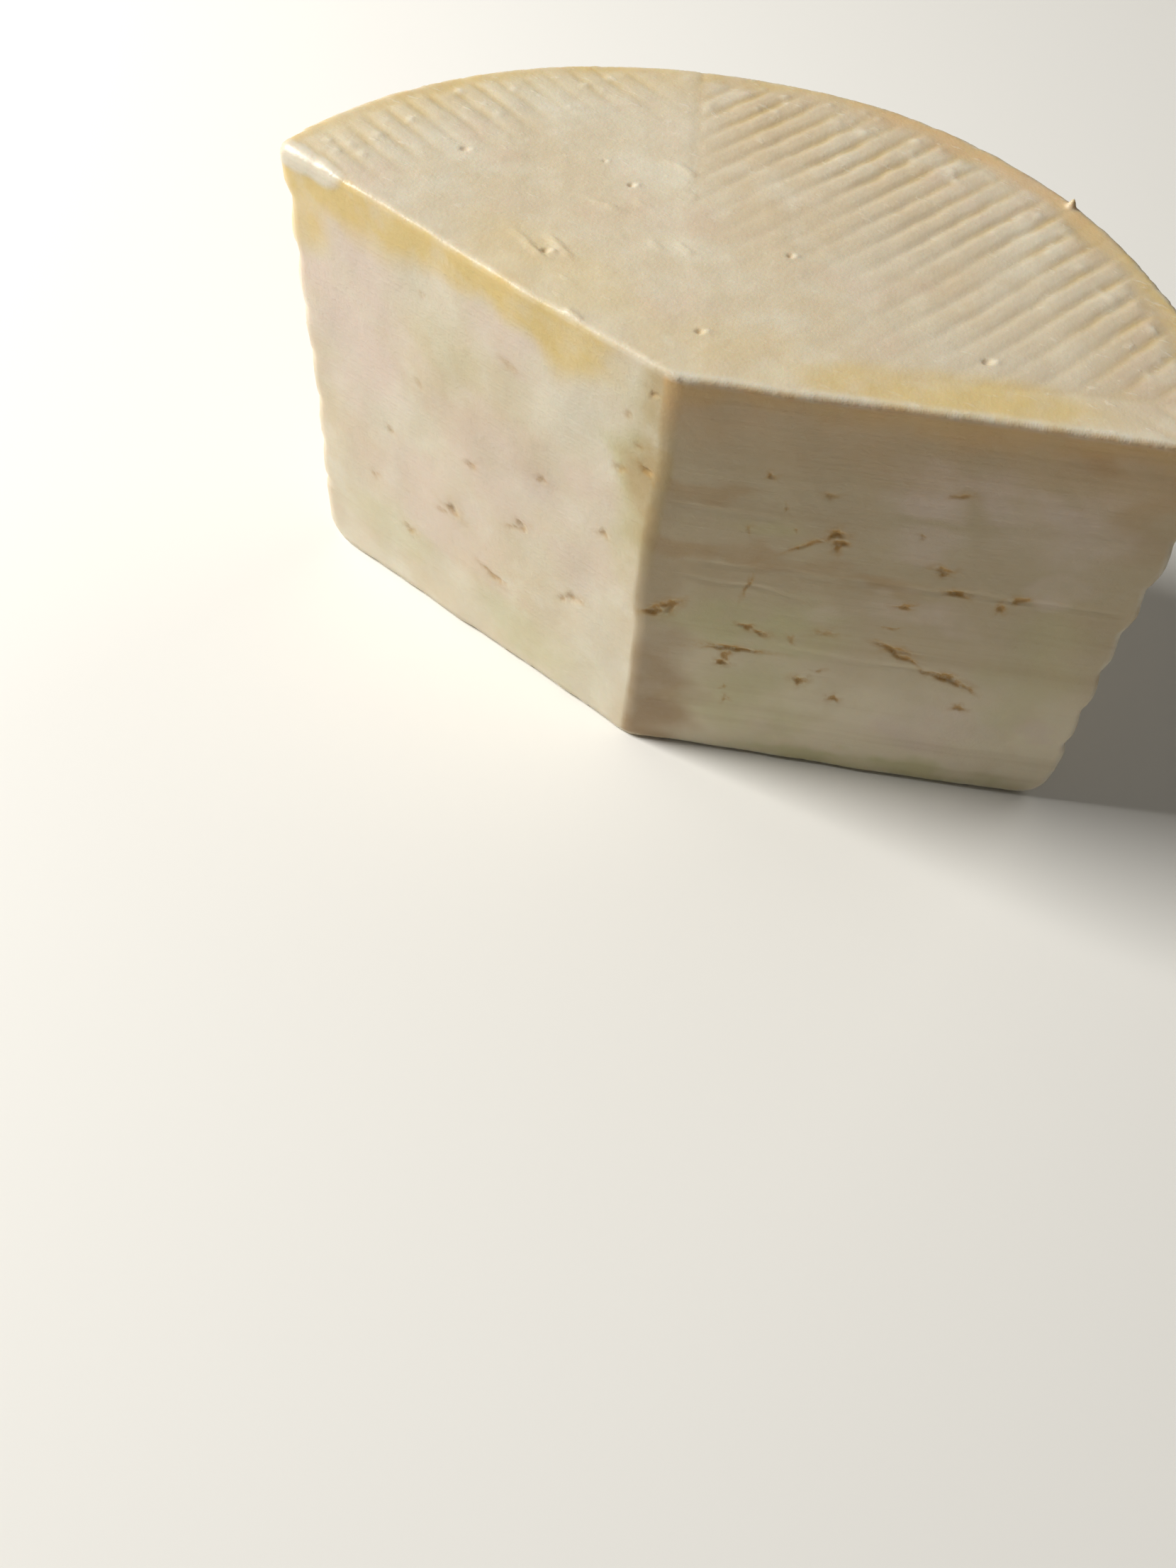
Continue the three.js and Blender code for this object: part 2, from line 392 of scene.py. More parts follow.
def base_distance(points, easing=0.0):
    """Distance outwards from the cut piece, before its fine relief."""
    cuts = rounded_corner(cut_distance(points, 1), cut_distance(points, -1), max(TIP_EDGE, easing))
    blunt = smooth_step(88.0, 102.0, along_cut(points, -1)) * smooth_step(100.0, 112.0, points[:, 2])
    cut_edge = max(CUT_EDGE, easing) + BLUNT_CORNER * blunt
    return rounded_corner(outer_distance(points, easing), cuts, cut_edge)


def slope_of(distance, points):
    """Unit gradient of a distance, which is the outward normal at its surface."""
    reach = 0.05
    slope = np.zeros_like(points)
    for axis in range(3):
        step = np.zeros(3)
        step[axis] = reach
        slope[:, axis] = (distance(points + step) - distance(points - step)) / (2 * reach)
    return slope / np.maximum(np.linalg.norm(slope, axis=1), 1e-6)[:, None]


def draw_onto(distance, points, steps):
    """Moves points along the slope until they lie on the surface."""
    for _ in range(steps):
        points = points - slope_of(distance, points) * distance(points)[:, None]
    return points


def draw_onto_piece(points):
    """Draws the skin onto the cut piece, whose edges sharpen step by step."""
    for easing in EASING_EDGES:
        steps = 2 if easing else 4
        points = draw_onto(lambda places: base_distance(places, easing), points, steps)
    return points


def groove_relief(points, strength):
    """Depth of the grooved pattern: lands stand at 0, grooves and the border lie below them."""
    _, across, off_seam, field = field_place(points)
    radius = np.hypot(points[:, 0], points[:, 1])
    sway = 0.30 * wander(points[:, :2], 30.0, 41) + 0.16 * wander(points[:, :2], 7.0, 42)
    phase = (across + sway) / GROOVE_PITCH
    from_groove = np.abs(phase - np.floor(phase) - 0.5) * GROOVE_PITCH
    groove = 1.0 - smooth_step(0.0, GROOVE_HALF_WIDTH, from_groove)
    groove *= smooth_step(0.2, 2.2, off_seam)
    border_width = np.where(field == LEFT_FIELD, LEFT_BORDER_WIDTH, BORDER_WIDTH)
    edge = WHEEL_RADIUS - border_width + 1.3 * wander(points[:, :2], 21.0, 43)
    border = smooth_step(-BORDER_SLOPE, 0.0, radius - edge)
    seam = SEAM_DEPTH * (1.0 - smooth_step(0.0, 2.2, off_seam)) * smooth_step(30.0, 80.0, radius)
    return strength * GROOVE_DEPTH * np.maximum(groove, 0.8 * border) + seam


def top_strength(points):
    """How clearly the grooves show on the top: worn in the middle, and most of all on the left."""
    radius = np.hypot(points[:, 0], points[:, 1])
    _, _, off_seam, field = field_place(points)
    right = 0.08 + 0.92 * smooth_step(36.0, 82.0, radius)
    right *= 0.45 + 0.55 * smooth_step(0.0, 14.0, off_seam)
    left = 0.05 + 0.75 * smooth_step(78.0, 100.0, radius) * smooth_step(2.0, 30.0, off_seam)
    front = 0.10 + 0.6 * smooth_step(86.0, 104.0, radius)
    patchy = 0.85 + 0.3 * wander(points[:, :2], 34.0, 51)
    strength = np.where(field == RIGHT_FIELD, right, np.where(field == LEFT_FIELD, left, front))
    return strength * np.clip(patchy, 0.35, 1.25)


def worn_ridges(points):
    """Thin, broken ridges that are left of the grooves in the worn part of the left field."""
    along, across, _, field = field_place(points)
    sway = 1.1 * wander(points[:, :2], 26.0, 44) + 0.25 * wander(points[:, :2], 5.0, 45)
    phase = (across + sway) / GROOVE_PITCH
    from_ridge = np.abs(phase - np.floor(phase) - 0.5) * GROOVE_PITCH
    ridge = 1.0 - smooth_step(0.25, 0.95, from_ridge)
    broken = smooth_step(0.25, 0.9, wander(points[:, :2], 15.0, 46))
    belt = smooth_step(18.0, 26.0, along) * (1.0 - smooth_step(46.0, 58.0, along))
    return (field == LEFT_FIELD) * belt * broken * ridge


def crumb_bumps(points, on_top):
    """Height of the crumbs, inside the rim and beside the pits, and of the splinter, and where they lie."""
    dice = np.random.default_rng(71)
    height = np.zeros(len(points))
    first, last = FIRST_SEAM_ANGLE, FIRST_SEAM_ANGLE + CRUMB_ARC
    for _ in range(RIM_CRUMBS):
        angle = math.radians(dice.uniform(first, last))
        radius = dice.uniform(*CRUMB_BELT)
        width, tall = dice.uniform(*CRUMB_WIDTH), dice.uniform(*CRUMB_HEIGHT)
        place = (radius * math.cos(angle), radius * math.sin(angle))
        apart = np.hypot(points[:, 0] - place[0], points[:, 1] - place[1])
        height = np.maximum(height, tall * np.exp(-(apart / (width / 2)) ** 2))
    for x, y, width, deep in TOP_PITS:
        apart = np.hypot(points[:, 0] - x - 0.7 * width, points[:, 1] - y - 0.3 * width)
        height = np.maximum(height, PIT_CRUMB * deep * np.exp(-(apart / PIT_CRUMB_REACH) ** 2))
    angle, radius, width, tall = SPLINTER
    place = (radius * math.cos(math.radians(angle)), radius * math.sin(math.radians(angle)))
    apart = np.hypot(points[:, 0] - place[0], points[:, 1] - place[1])
    splinter = tall * np.exp(-(apart / (width / 2)) ** 2)
    near_rim = smooth_step(WHEEL_HEIGHT - 4.0, WHEEL_HEIGHT - 2.0, points[:, 2])
    height = on_top * height + near_rim * splinter
    return height, np.clip(height / 0.3, 0.0, 1.0)


def eye_reach(across, up, eye, seed):
    """Distance from an eye's centre as a share of its ragged outline, for points beside it."""
    width, height, slope = eye[2], eye[3], math.radians(eye[4])
    a = (across * math.cos(slope) + up * math.sin(slope)) / (width / 2)
    b = (-across * math.sin(slope) + up * math.cos(slope)) / (height / 2)
    angle = np.arctan2(b, a)
    dice = np.random.default_rng(seed)
    ragged = 1.0
    for lobes, size in ((2, 0.12), (3, 0.20), (5, 0.12), (7, 0.07)):
        ragged = ragged + size * np.sin(lobes * angle + dice.uniform(0.0, 2.0 * math.pi))
    return np.hypot(a, b) / ragged


def eye_hollows(points, side, eyes):
    """Depth below one cut face of all its eyes, and how far they stain the paste, 0 to 1."""
    along = along_cut(points, side)
    up = points[:, 2]
    warp = np.column_stack([along, up])
    along = along + 0.35 * wander(warp, 4.0, 81 + side)
    up = up + 0.25 * wander(warp, 4.0, 91 + side)
    depth = np.zeros(len(points))
    stain = np.zeros(len(points))
    for index, eye in enumerate(eyes):
        reach = eye_reach(along - eye[0], up - eye[1], eye, 100 * (side + 2) + index)
        hollow = 1.0 - smooth_step(0.15, 1.15, reach)
        depth = np.maximum(depth, EYE_HOLLOW * eye[5] * hollow)
        strength = min(1.0, 0.42 + eye[5] / 2.2)
        core = 1.0 - smooth_step(0.5, 1.55, reach)
        halo = 0.4 * (1.0 - smooth_step(0.8, 2.3, reach))
        stain = np.maximum(stain, strength * np.maximum(core, halo))
    return depth, stain


def make_blank():
    """A drum with the two cuts made, turned so that the grooves run along X and Y."""
    bm = bmesh.new()
    bmesh.ops.create_cone(
        bm, cap_ends=True, segments=128,
        radius1=WHEEL_RADIUS, radius2=WHEEL_RADIUS, depth=WHEEL_HEIGHT)
    bmesh.ops.translate(bm, verts=bm.verts, vec=(0.0, 0.0, WHEEL_HEIGHT / 2))
    for side in (1, -1):
        along = cut_direction(side)
        outward = (side * along[1], -side * along[0], 0.0)
        everything = bm.verts[:] + bm.edges[:] + bm.faces[:]
        bmesh.ops.bisect_plane(
            bm, geom=everything, plane_co=(0.0, -TIP_PAST_AXIS, 0.0),
            plane_no=outward, clear_outer=True)
        rim = [edge for edge in bm.edges if edge.is_boundary]
        bmesh.ops.edgeloop_fill(bm, edges=rim)
    turn = Matrix.Rotation(-math.radians(FIRST_SEAM_ANGLE + 45.0), 3, "Z")
    bmesh.ops.rotate(bm, verts=bm.verts, cent=(0.0, 0.0, 0.0), matrix=turn)
    bmesh.ops.scale(bm, verts=bm.verts, vec=(MM, MM, MM))
    bmesh.ops.recalc_face_normals(bm, faces=bm.faces)
    return bm


def link_piece(bm, name):
    mesh = bpy.data.meshes.new(name)
    bm.to_mesh(mesh)
    bm.free()
    piece = bpy.data.objects.new(name, mesh)
    bpy.context.scene.collection.objects.link(piece)
    return piece


def even_skin(piece):
    """Gives the blank an even skin of small squares."""
    remesh = piece.modifiers.new("even_skin", "REMESH")
    remesh.mode = "VOXEL"
    remesh.voxel_size = SKIN_STEP * MM
    graph = bpy.context.evaluated_depsgraph_get()
    skin = bpy.data.meshes.new_from_object(piece.evaluated_get(graph))
    old = piece.data
    piece.modifiers.clear()
    piece.data = skin
    bpy.data.meshes.remove(old)


def split_faces(bm, chosen):
    """Splits every face that chosen picks from the face centres, in wheel millimetres, into four."""
    centres = np.array([face.calc_center_median() for face in bm.faces])
    picked = chosen(centres)
    edges = {edge for face, pick in zip(bm.faces, picked) if pick for edge in face.edges}
    bmesh.ops.subdivide_edges(bm, edges=list(edges), cuts=1, use_grid_fill=True)


def settle(bm):
    """Evens out the skin, so that its points lie apart along the cut edges too."""
    for _ in range(3):
        bmesh.ops.smooth_vert(
            bm, verts=bm.verts, factor=0.5, use_axis_x=True, use_axis_y=True, use_axis_z=True)


def near_top(centres):
    return centres[:, 2] > WHEEL_HEIGHT - FINE_TOP


def near_right_cut(centres):
    return cut_distance(centres, 1) > -FINE_CUT


def near_detail(centres):
    """Centres close to an eye, a pit, the splinter or the top edge of a cut."""
    near = np.zeros(len(centres), bool)
    for side, eyes in ((1, RIGHT_EYES), (-1, LEFT_EYES)):
        behind = -cut_distance(centres, side)
        near |= (behind < FINE_EDGE) & (centres[:, 2] > WHEEL_HEIGHT - FINE_EDGE)
        along = along_cut(centres, side)
        for eye in eyes:
            reach = max(eye[2], eye[3]) / 2 + FINE_MARGIN
            apart = np.hypot(along - eye[0], centres[:, 2] - eye[1])
            near |= (behind < FINE_CUT) & (apart < reach)
    angle = math.radians(SPLINTER[0])
    splinter = (SPLINTER[1] * math.cos(angle), SPLINTER[1] * math.sin(angle), SPLINTER[2])
    for x, y, width in [pit[:3] for pit in TOP_PITS] + [splinter]:
        apart = np.hypot(centres[:, 0] - x, centres[:, 1] - y)
        near |= (apart < width / 2 + FINE_MARGIN) & near_top(centres)
    return near


def refine(piece):
    """Turns the skin into the wheel's own frame and makes it finer where detail is."""
    bm = bmesh.new()
    bm.from_mesh(piece.data)
    bmesh.ops.scale(bm, verts=bm.verts, vec=(1 / MM, 1 / MM, 1 / MM))
    turn = Matrix.Rotation(math.radians(FIRST_SEAM_ANGLE + 45.0), 3, "Z")
    bmesh.ops.rotate(bm, verts=bm.verts, cent=(0.0, 0.0, 0.0), matrix=turn)
    settle(bm)
    split_faces(bm, lambda centres: near_top(centres) | near_right_cut(centres))
    split_faces(bm, near_detail)
    settle(bm)
    bm.to_mesh(piece.data)
    bm.free()


def read_points(mesh):
    flat = np.zeros(len(mesh.vertices) * 3)
    mesh.vertices.foreach_get("co", flat)
    return flat.reshape(-1, 3)


def write_points(mesh, points):
    mesh.vertices.foreach_set("co", points.reshape(-1))
    mesh.update()


def write_mask(mesh, name, values):
    attribute = mesh.attributes.new(name, "FLOAT", "POINT")
    attribute.data.foreach_set("value", np.clip(values, 0.0, 1.0))


def patch(along, up, place, size):
    """1 in the middle of a soft oval patch, 0 outside it."""
    reach = np.hypot((along - place[0]) / size[0], (up - place[1]) / size[1])
    return 1.0 - smooth_step(0.35, 1.0, reach)


def patches(points, side, places):
    """The soft patches of one tint on a cut, their outlines made uneven."""
    along = along_cut(points, side)
    warp = np.column_stack([along, points[:, 2] * 2.0])
    along = along + 3.0 * wander(warp, 22.0, 111)
    up = points[:, 2] + 1.5 * wander(warp, 16.0, 112) + 0.6 * wander(warp, 7.0, 113)
    total = np.zeros(len(points))
    for place in places:
        total = np.maximum(total, place[4] * patch(along, up, place[:2], place[2:4]))
    return total


def knife_creases(points):
    """Depth of the fine creases in the right cut."""
    along = along_cut(points, 1)
    depth = np.zeros(len(points))
    for index, (start, end, height, rise, deep) in enumerate(KNIFE_CREASES):
        share = (along - start) / (end - start)
        path = height + rise * share + 0.5 * wander(along[:, None], 22.0, 121 + index)
        line = 1.0 - smooth_step(0.1, 1.0, np.abs(points[:, 2] - path))
        ends = smooth_step(0.0, 0.15, share) * (1.0 - smooth_step(0.85, 1.0, share))
        depth = np.maximum(depth, deep * line * ends)
    return depth


def band_edge(points):
    """How the lower edge of a tinted band wanders up and down."""
    return wander(points, 24.0, 61) + 0.6 * wander(points, 9.0, 62)


def under_top(points, deep):
    """The uneven band below the top edge, deep mm deep, where the paste is driest."""
    below = WHEEL_HEIGHT - points[:, 2]
    return 1.0 - smooth_step(0.2, 1.2, below / (deep + 1.8 * band_edge(points)))


def ripened(points, on_top, on_left, on_right):
    """Where the paste has gone yellow: under the top edge, at the rim and in the oily stains."""
    below = WHEEL_HEIGHT - points[:, 2]
    radius = np.hypot(points[:, 0], points[:, 1])
    uneven = band_edge(points)
    along = along_cut(points, -1)
    deep = 11.0 + 5.0 * np.exp(-((along - 27.0) / 9.0) ** 2) + 1.8 * uneven
    band = 1.0 - smooth_step(0.5, 1.2, below / np.maximum(deep, 3.0))
    band *= smooth_step(8.0, 22.0, along)
    left = on_left * np.maximum(band, 0.8 * patch(along, below, (108.0, 12.0), (14.0, 14.0)))
    right = on_right * 0.3 * under_top(points, 8.0)
    rim = smooth_step(7.0, 1.0, WHEEL_RADIUS - radius + 2.0 * uneven)
    rim *= np.clip(0.5 + 0.3 * uneven, 0.0, 0.85)
    left_rim = smooth_step(18.0, 4.0, WHEEL_RADIUS - radius) * (field_place(points)[3] == LEFT_FIELD)
    rim = np.maximum(rim, LEFT_RIM_STRENGTH * left_rim)
    stain = np.zeros(len(points))
    for side, middle, size, strength in OILY_STAINS:
        oily = patch(along_cut(points, side), -cut_distance(points, side), middle, size)
        stain = np.maximum(stain, strength * oily)
    top = on_top * np.maximum(rim, stain)
    return np.clip(left + right + top, 0.0, 1.0)


def blushed(points, on_top):
    """The stretch of the rim that has turned orange-pink."""
    radius = np.hypot(points[:, 0], points[:, 1])
    angle = np.degrees(np.arctan2(points[:, 1], points[:, 0]))
    stretch = smooth_step(42.0, 60.0, angle) * (1.0 - smooth_step(78.0, 100.0, angle))
    inwards = WHEEL_RADIUS - radius + 1.5 * wander(points[:, :2], 14.0, 65)
    return on_top * stretch * smooth_step(10.0, 2.0, inwards)


def corner_lip(points):
    """The thick pale flap of crust that the knife folded over the left corner, 0 to 1."""
    beyond = np.minimum(along_cut(points, -1) - 103.0, 0.0) / 11.0
    below = WHEEL_HEIGHT + 1.6 - points[:, 2]
    from_edge = np.maximum(below, -1.5 * cut_distance(points, -1)) + 0.4 * wander(points, 9.0, 66)
    reach = np.hypot(beyond, np.maximum(from_edge, 0.0) / 5.2)
    return (1.0 - smooth_step(0.7, 1.05, reach)) * smooth_step(-14.0, -10.0, cut_distance(points, -1))


def dry_and_highlit_edges(points):
    """The pale line where the knife left the top, partly dry paste and partly a painted highlight on the
    rounded edge; the dry rim; and the flap at the left corner.
    """
    cuts = np.maximum(cut_distance(points, 1), cut_distance(points, -1))
    fading = 0.75 - 0.4 * smooth_step(25.0, 70.0, along_cut(points, -1))
    near_edge = np.maximum(
        smooth_step(-3.0, -1.0, cut_distance(points, 1)), fading * smooth_step(-1.7, -0.4, cuts))
    edge = near_edge * smooth_step(-2.0, -0.5, outer_distance(points))
    ragged = np.clip(0.7 + 0.35 * wander(points, 8.0, 67), 0.15, 1.0)
    radius = np.hypot(points[:, 0], points[:, 1])
    rim = smooth_step(-2.6, -0.8, radius - rind_radius(points))
    rim *= smooth_step(-2.6, -0.9, points[:, 2] - WHEEL_HEIGHT)
    rim *= np.clip(0.35 + 0.5 * wander(points, 6.0, 68), 0.0, 0.8)
    return np.maximum(np.maximum(ragged * edge, rim), 0.55 * corner_lip(points))


def carve(piece):
    """Draws the skin onto the piece's formulas, carves its relief and stores its tints."""
    points = draw_onto_piece(read_points(piece.data))
    normal = slope_of(base_distance, points)
    on_top = smooth_step(0.55, 0.95, normal[:, 2])
    on_base = smooth_step(0.55, 0.95, -normal[:, 2])
    on_right, on_left = (
        smooth_step(-1.4, -0.5, cut_distance(points, side)) * (1.0 - on_top) for side in (1, -1))
    lip = corner_lip(points)
    bumps, crumbs = crumb_bumps(points, on_top)
    top_grooves = groove_relief(points, top_strength(points)) * (1.0 - lip)
    depth = on_top * (top_grooves - WORN_RIDGE_HEIGHT * worn_ridges(points))
    depth += on_base * groove_relief(points, BASE_GROOVE_STRENGTH)
    depth += on_right * knife_creases(points) - LIP_RELIEF * lip - bumps
    stain = np.zeros(len(points))
    for on_cut, side, eyes in ((on_right, 1, RIGHT_EYES), (on_left, -1, LEFT_EYES)):
        hollow, eye_stain = eye_hollows(points, side, eyes)
        depth += on_cut * hollow
        stain = np.maximum(stain, on_cut * eye_stain * (1.0 if side == 1 else LEFT_EYE_STAIN))
    for x, y, width, deep in TOP_PITS:
        apart = np.hypot(points[:, 0] - x, points[:, 1] - y)
        pit = 1.0 - smooth_step(0.1, 1.0, apart / (width / 2))
        depth += on_top * pit * deep
        stain = np.maximum(stain, on_top * pit * 0.4)
    radius = np.hypot(points[:, 0], points[:, 1])
    crest = WHEEL_RADIUS + 0.2 + CORNER_SWELL * left_corner(points)
    browned_and_shaded = np.maximum(patches(points, 1, RIGHT_BROWNED_AND_SHADED), 0.35 * under_top(points, 8.0))
    on_rind = (1.0 - on_top) * (1.0 - on_base) * (1.0 - np.maximum(on_right, on_left))
    field = field_place(points)[3]
    oily_field = on_top * (field == RIGHT_FIELD) * smooth_step(20.0, 70.0, radius)
    masks = {
        "eye_stain": stain,
        # Yellowed paste in the grooves near the rim, also darkened: the darkening is painted shade
        "groove": on_top * top_grooves / GROOVE_DEPTH * smooth_step(60.0, 100.0, radius),
        "cut_face": np.maximum(on_right, on_left),
        "ripened": ripened(points, on_top, on_left, on_right) * (1.0 - lip),
        "blushed": blushed(points, on_top),
        "tanned": on_right * (0.45 * under_top(points, 8.0) + 0.55 * under_top(points, 24.0)),
        # Pale edges and crumbs: partly dry paste, partly painted highlights on the rounded edges and
        # painted glints on the crumbs
        "dry_and_highlit": np.maximum(dry_and_highlit_edges(points), 0.7 * crumbs),
        "whey": 0.85 * on_right * patches(points, 1, RIGHT_WHEY) + on_left * patches(points, -1, LEFT_WHEY),
        "rosy": 0.95 * on_right * patches(points, 1, RIGHT_ROSY) + on_left * patches(points, -1, LEFT_ROSY),
        # Brown tint of the paste and of the oily field on top, with painted shade beside the tip on both
        # cuts
        "browned_and_shaded": on_right * browned_and_shaded + on_left * patches(points, -1, LEFT_BROWNED_AND_SHADED) + 0.28 * oily_field,
        # Painted shade: darker brown at the foot of the tip on the right cut
        "tip_foot_shade": on_right * patches(points, 1, RIGHT_TIP_FOOT_SHADE),
        "rind": on_rind,
        # Painted shade: the rind darkened in the valleys between its rings
        "ring_valley_shade": on_rind * smooth_step(0.2, -1.1, radius - crest),
        "top_skin": on_top * (0.45 + 0.55 * smooth_step(40.0, 100.0, radius)),
        # Where the right cut lies: it carries the painted shade of that face and the blade's streaks
        "right_cut": on_right,
        # Painted light: the right cut grows paler towards its foot, for the light thrown up from the floor
        "painted_bounce_light": on_right * smooth_step(66.0, 14.0, points[:, 2]),
    }
    for name, values in masks.items():
        write_mask(piece.data, name, values)
    write_points(piece.data, points - normal * depth[:, None])


def place_piece(piece):
    """Moves the finished mesh from the wheel's own millimetres to its place in the frame."""
    piece.data.transform(Matrix.Translation(AXIS) @ Matrix.Diagonal((MM, MM, MM, 1.0)))
    for face in piece.data.polygons:
        face.use_smooth = True


def linear(hex_colour):
    """sRGB hex such as "#f3e6cb" as linear RGBA."""
    channels = [int(hex_colour[i:i + 2], 16) / 255 for i in (1, 3, 5)]
    return tuple(
        c / 12.92 if c <= 0.04045 else ((c + 0.055) / 1.055) ** 2.4 for c in channels
    ) + (1.0,)


def add_node(tree, kind, inputs=None, **settings):
    """Adds a node, with its settings, and its inputs as values or as sockets to link from."""
    node = tree.nodes.new(kind)
    for name, value in settings.items():
        setattr(node, name, value)
    for name, value in (inputs or {}).items():
        if isinstance(value, bpy.types.NodeSocket):
            tree.links.new(value, node.inputs[name])
        else:
            node.inputs[name].default_value = value
    return node


class Tint(NamedTuple):
    """A tint laid over the paste where its mask is set, or everywhere if it has none.

    Noise whose grains measure size millimetres breaks it up: values from low to
    high become least to most. A tint of size 0 keeps its mask's own soft outline.
    """
    colour: str
    strength: float
    mask: str = ""
    size: float = 0.0
    detail: float = 6.0
    low: float = 0.3
    high: float = 0.55
    least: float = 0.25
    most: float = 1.1
    grain: str = "even"


# In the order in which they lie over one another
TINTS = [
    # Mottling of the whole paste
    Tint("#d8c6a6", 0.6, size=34.0, detail=3.0, low=0.4, high=0.6, least=0.0, most=1.0),
    Tint("#e6dfcb", 0.5, size=13.0, detail=5.0, low=0.5, high=0.66, least=0.0, most=1.0),
    Tint("#d9bfaa", 0.35, size=20.0, detail=4.0, low=0.54, high=0.7, least=0.0, most=1.0),
    # Painted shade: the whole right cut made darker and yellower, for the shade it lies in
    Tint("#bfac87", 0.8, "right_cut"),
    # Painted light: the right cut made paler towards its foot, for light bounced from the floor
    Tint("#efe4ca", 0.72, "painted_bounce_light", size=22.0, least=0.5),
    Tint("#dfccbd", 0.8, "rosy", size=16.0),
    Tint("#c6c18c", 0.65, "whey", size=14.0),
    # Brown tint of the paste, and painted shade beside the tip
    Tint("#b3905f", 0.6, "browned_and_shaded", size=14.0),
    Tint("#d8ab78", 0.6, "tanned", size=14.0, least=0.6),
    # Painted shade: dark brown at the foot of the tip on the right cut
    Tint("#8f6f48", 0.5, "tip_foot_shade"),
    # Painted shade in the valleys between the rind's rings
    Tint("#c9ae80", 0.45, "ring_valley_shade", size=10.0, least=0.3),
    # Streaks that the blade dragged along the right cut
    Tint("#b39a70", 0.28, "right_cut", size=5.5, detail=5.0, low=0.5, high=0.7,
         least=0.0, most=1.0, grain="streaked"),
    # The grooves near the rim: yellowed paste, and darker as painted shade
    Tint("#cfb272", 0.55, "groove", size=9.0),
    Tint("#dcbf70", 0.8, "ripened", size=8.0, least=0.6),
    Tint("#dbb78c", 0.55, "blushed", size=8.0, least=0.5),
    # Pale dry edges, rim and flap, with painted highlights on the cut edges and painted glints on the
    # crumbs
    Tint("#e2dccb", 0.75, "dry_and_highlit", size=4.0),
    Tint("#b68a40", 0.9, "eye_stain", size=1.6),
    # Flecks where curd has stuck and torn: 1 to 2 mm wide, three times as long
    Tint("#ece5d4", 0.35, "top_skin", size=1.6, detail=3.0, low=0.62, high=0.72,
         least=0.0, most=1.0, grain="torn"),
    # Pores 1 to 2 mm across that the basket's weave left open in the rind
    Tint("#c2a06c", 0.4, "rind", size=2.6, detail=2.0, low=0.71, high=0.76, least=0.0, most=1.0),
]


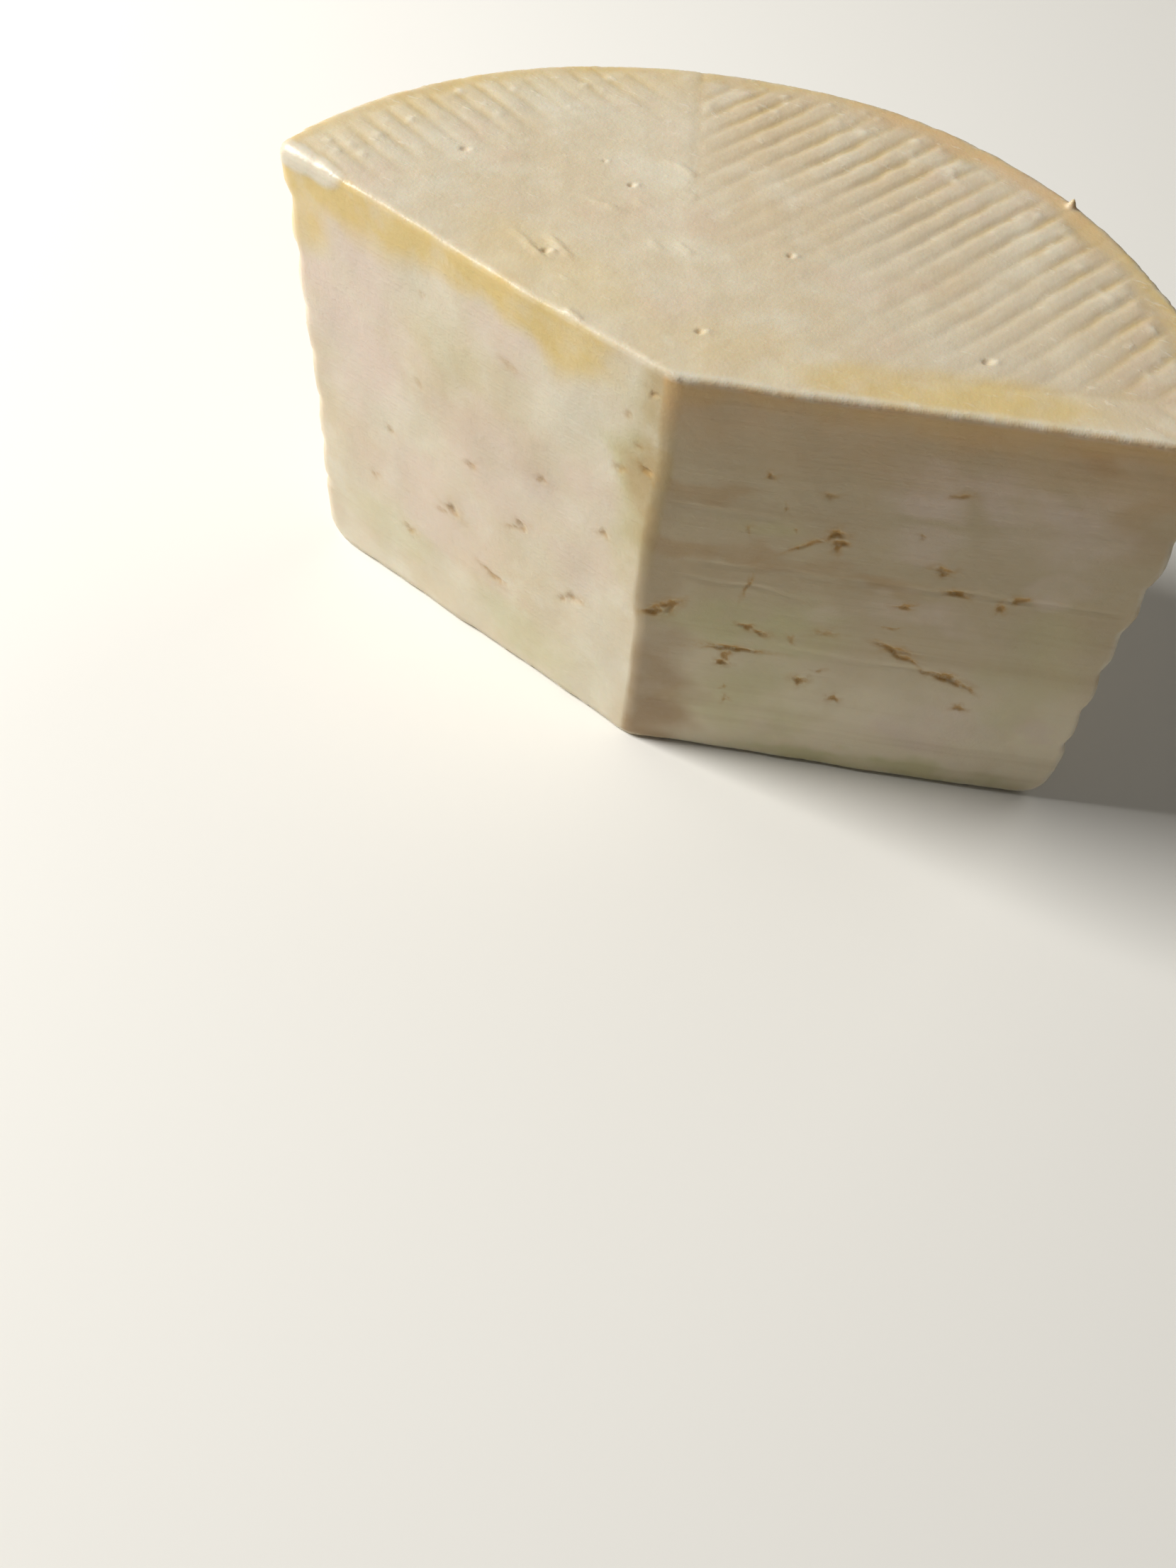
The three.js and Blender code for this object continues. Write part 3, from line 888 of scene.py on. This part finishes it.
def fresh_cheese():
    """Fresh basket cheese: moist, faintly translucent milk curd, cut with a knife.

    It scatters light softly under a low, waxy sheen. The top is dry and finely
    grained, the cuts are smoother and streaked by the blade, and the paste has
    yellowed where fat came out.
    """
    material = bpy.data.materials.new("fresh_basket_cheese")
    material.use_nodes = True
    tree = material.node_tree
    tree.nodes.clear()
    place = add_node(tree, "ShaderNodeTexCoord").outputs["Object"]
    # The blade's streaks lie level, about thirty times as long as they are high
    streaked = add_node(tree, "ShaderNodeMapping", {
        "Vector": place, "Scale": (0.03, 0.03, 1.0)}).outputs["Vector"]
    torn = add_node(tree, "ShaderNodeMapping", {
        "Vector": place, "Rotation": (0.0, 0.0, 0.6), "Scale": (0.35, 1.0, 1.0)}).outputs["Vector"]
    grains = {"even": place, "streaked": streaked, "torn": torn}

    colour = linear("#ded4bd")
    covers = {}
    for tint in TINTS:
        cover = 1.0
        if tint.mask:
            cover = add_node(tree, "ShaderNodeAttribute", attribute_name=tint.mask).outputs["Fac"]
        if tint.size:
            noise = add_node(tree, "ShaderNodeTexNoise", {
                "Vector": grains[tint.grain], "Scale": 1 / (tint.size * MM), "Detail": tint.detail})
            broken = add_node(tree, "ShaderNodeMapRange", {
                "Value": noise.outputs["Fac"], "From Min": tint.low, "From Max": tint.high,
                "To Min": tint.least, "To Max": tint.most})
            cover = add_node(tree, "ShaderNodeMath", {0: cover, 1: broken.outputs["Result"]},
                             operation="MULTIPLY", use_clamp=True).outputs[0]
        share = add_node(tree, "ShaderNodeMath", {0: cover, 1: tint.strength}, operation="MULTIPLY")
        colour = add_node(tree, "ShaderNodeMix", {
            0: share.outputs[0], 6: colour, 7: linear(tint.colour)}, data_type="RGBA").outputs[2]
        covers[tint.mask] = cover

    # Relief too fine for the mesh: the blade's drag, lumps of curd, the flecks, a fine grain and pores
    cut_face = add_node(tree, "ShaderNodeAttribute", attribute_name="cut_face").outputs["Fac"]
    strokes = add_node(tree, "ShaderNodeTexNoise", {
        "Vector": streaked, "Scale": 1 / (1.3 * MM), "Detail": 4.0}).outputs["Fac"]
    drag = add_node(tree, "ShaderNodeMath", {0: cut_face, 1: strokes},
                    operation="MULTIPLY", use_clamp=True).outputs[0]
    lumps = add_node(tree, "ShaderNodeTexNoise", {
        "Vector": place, "Scale": 1 / (4.5 * MM), "Detail": 3.0}).outputs["Fac"]
    fine_grain = add_node(tree, "ShaderNodeTexNoise", {
        "Vector": place, "Scale": 1 / (0.8 * MM), "Detail": 5.0}).outputs["Fac"]
    bumps = [
        (drag, 0.25, 0.4, False),
        (lumps, 0.2, 0.8, False),
        (covers["top_skin"], 0.2, 0.4, False),
        (fine_grain, 0.25, 0.3, False),
        (covers["rind"], 0.5, 0.4, True),
    ]
    below = {}
    for height, strength, height_mm, sunk in bumps:
        bump = add_node(tree, "ShaderNodeBump", {
            "Height": height, "Strength": strength, "Distance": height_mm * MM, **below}, invert=sunk)
        below = {"Normal": bump.outputs["Normal"]}

    dampness = add_node(tree, "ShaderNodeTexNoise", {
        "Vector": place, "Scale": 1 / (2.4 * MM), "Detail": 5.0}).outputs["Fac"]
    roughness = add_node(tree, "ShaderNodeMapRange", {
        "Value": dampness, "From Min": 0.35, "From Max": 0.65, "To Min": 0.38, "To Max": 0.6})
    shader = add_node(tree, "ShaderNodeBsdfPrincipled", {
        "Base Color": colour, "Roughness": roughness.outputs["Result"], "IOR": 1.45,
        "Subsurface Weight": 0.35, "Subsurface Radius": (1.0, 0.6, 0.35),
        "Subsurface Scale": 0.0028, "Coat Weight": 0.08, "Coat Roughness": 0.2, **below})
    add_node(tree, "ShaderNodeOutputMaterial", {"Surface": shader.outputs["BSDF"]})
    return material


def make_cheese():
    piece = link_piece(make_blank(), "cut_cheese")
    even_skin(piece)
    refine(piece)
    carve(piece)
    place_piece(piece)
    piece.data.materials.clear()
    piece.data.materials.append(fresh_cheese())
    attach(piece, "root")
    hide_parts(CHEESE)


def make_floor():
    bm = bmesh.new()
    bmesh.ops.create_grid(bm, x_segments=2, y_segments=2, size=3.0)
    floor = link_piece(bm, "studio_floor")
    floor.location.z = LOW.z - 0.0002
    material = bpy.data.materials.new("matt_white_card")
    material.use_nodes = True
    shader = material.node_tree.nodes["Principled BSDF"]
    shader.inputs["Base Color"].default_value = linear("#f3f2ee")
    shader.inputs["Roughness"].default_value = 0.9
    floor.data.materials.append(material)


def add_softbox(name, turn, rise, distance, size, power, colour):
    """A square light that looks at the piece, from turn degrees round from +X and rise above level."""
    light = bpy.data.lights.new(name, "AREA")
    light.shape = "SQUARE"
    light.size = size
    light.energy = power
    light.color = colour
    lamp = bpy.data.objects.new(name, light)
    bpy.context.scene.collection.objects.link(lamp)
    turn, rise = math.radians(turn), math.radians(rise)
    towards = Vector((math.cos(turn) * math.cos(rise), math.sin(turn) * math.cos(rise), math.sin(rise)))
    middle = (LOW + HIGH) / 2
    lamp.location = middle + towards * distance
    lamp.rotation_euler = towards.to_track_quat("Z", "Y").to_euler()


def light_studio():
    add_softbox(
        "key_softbox", turn=189.5, rise=38.0, distance=1.6, size=0.5, power=34.5, colour=(1.0, 0.98, 0.94))
    add_softbox(
        "back_softbox", turn=55.0, rise=35.0, distance=1.6, size=0.9, power=3.4, colour=(1.0, 0.97, 0.9))
    world = bpy.data.worlds.new("studio_room")
    world.use_nodes = True
    background = world.node_tree.nodes["Background"]
    background.inputs["Color"].default_value = (1.0, 0.95, 0.86, 1.0)
    background.inputs["Strength"].default_value = 0.058
    bpy.context.scene.world = world


def place_camera():
    """The camera stands above and in front of the tip, to its right, and looks down to the left."""
    data = bpy.data.cameras.new("camera")
    data.sensor_width = 36.0
    data.lens = 32.67
    camera = bpy.data.objects.new("camera", data)
    bpy.context.scene.collection.objects.link(camera)
    from_axis = Vector((0.0685, -0.2265, 0.3057))
    turn = Matrix.Rotation(math.radians(19.5), 4, "Z")
    rise = Matrix.Rotation(math.radians(90.0 - 55.14), 4, "X")
    tilt = Matrix.Rotation(math.radians(5.54), 4, "Z")
    camera.matrix_world = Matrix.Translation(AXIS + from_axis) @ turn @ rise @ tilt
    bpy.context.scene.camera = camera


bpy.context.scene.view_settings.view_transform = "Standard"
place_camera()
light_studio()
make_floor()
make_cheese()
